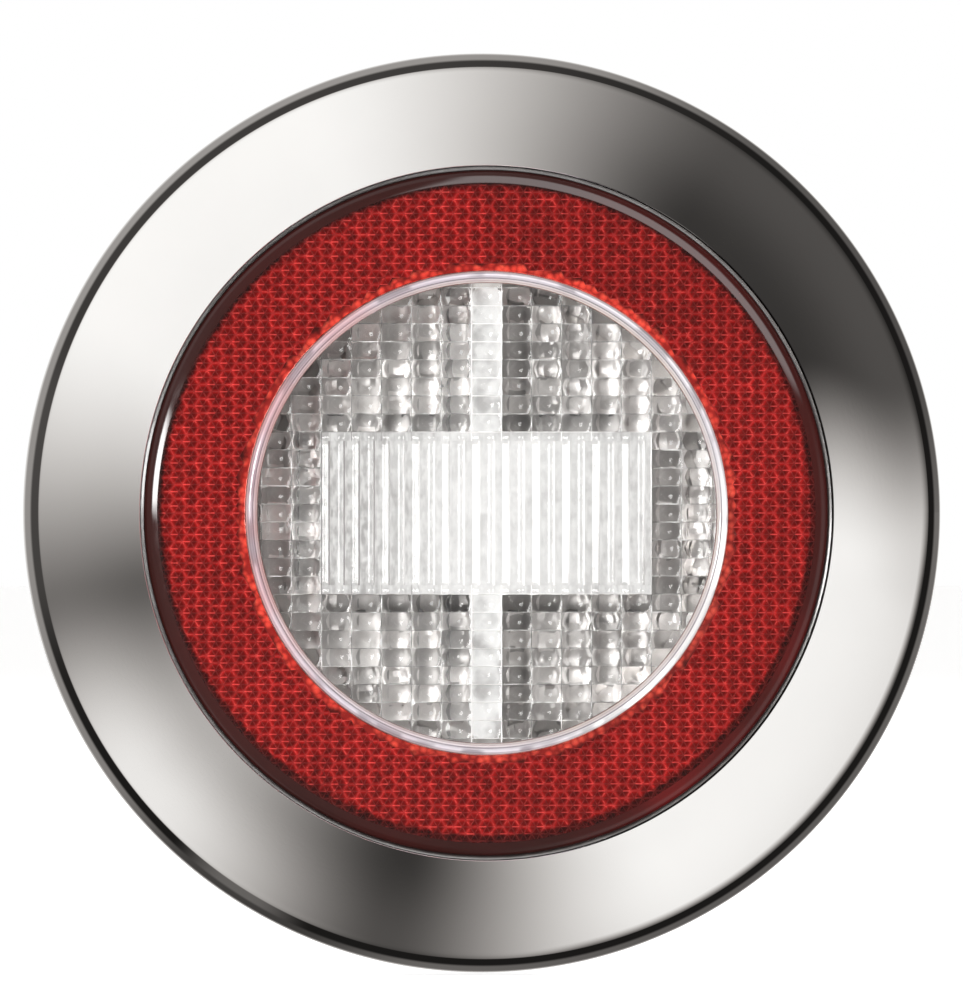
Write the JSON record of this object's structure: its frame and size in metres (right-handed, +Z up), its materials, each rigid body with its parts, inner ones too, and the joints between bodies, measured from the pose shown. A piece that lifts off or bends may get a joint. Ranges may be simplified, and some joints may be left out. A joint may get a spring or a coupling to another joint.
{
  "type": "round trailer rear lamp",
  "caption": "Round flush rear lamp: clear pillow-optic centre lens inside a red reflector ring, clip-on bright conical trim ring, flanged cup housing with a rear two-pole socket.",
  "frame": {"origin": "on the lamp's axis, in the plane of the vehicle's panel, which is the gasket's rear face", "axes": "+Y along the lamp's axis into the vehicle, so the lens faces -Y; +Z up"},
  "size_m": [0.14, 0.053, 0.14],
  "materials": {
    "chrome": "polished",
    "red_lens": "gloss",
    "clear_lens": "gloss",
    "grey_plastic": "satin",
    "rubber": "matte",
    "foam": "matte",
    "silvered": "polished",
    "opal": "satin",
    "board": "satin",
    "led": "satin",
    "aluminium": "satin",
    "component_black": "satin",
    "component_blue": "satin",
    "steel": "satin",
    "black_plastic": "satin",
    "tinned_brass": "satin",
    "membrane": "matte"
  },
  "bodies": {
    "lamp": {"red_reflector_lens": "red_lens", "clear_centre_lens": "clear_lens", "reflector_back_ring": "grey_plastic", "lens_seal": "rubber", "inner_reflector": "silvered", "diffuser_insert": "opal", "led_board": "board", "led_1": "led", "led_2": "led", "led_3": "led", "led_4": "led", "led_5": "led", "led_6": "led", "led_7": "led", "led_8": "led", "led_9": "led", "heat_spreader": "aluminium", "driver_choke": "component_black", "driver_chip": "component_black", "polarity_diode": "component_black", "current_resistor_1": "component_blue", "current_resistor_2": "component_blue", "input_capacitor": "aluminium", "board_screw_1": "steel", "board_screw_2": "steel", "board_screw_3": "steel", "housing": "black_plastic", "panel_gasket": "foam", "mounting_screw_1": "steel", "mounting_screw_2": "steel", "mounting_screw_3": "steel", "connector_shell": "black_plastic", "connector_seal": "rubber", "connector_screw_1": "steel", "connector_screw_2": "steel", "contact_pin_positive": "tinned_brass", "contact_pin_negative": "tinned_brass", "vent_cap": "black_plastic", "vent_membrane": "membrane"},
    "trim": {"trim_ring": "chrome"}
  },
  "joints": [
    {"name": "trim_ring_pull", "type": "slide", "parent": "lamp", "child": "trim", "axis": [0, -1, 0], "range_m": [0, 0.03]}
  ]
}
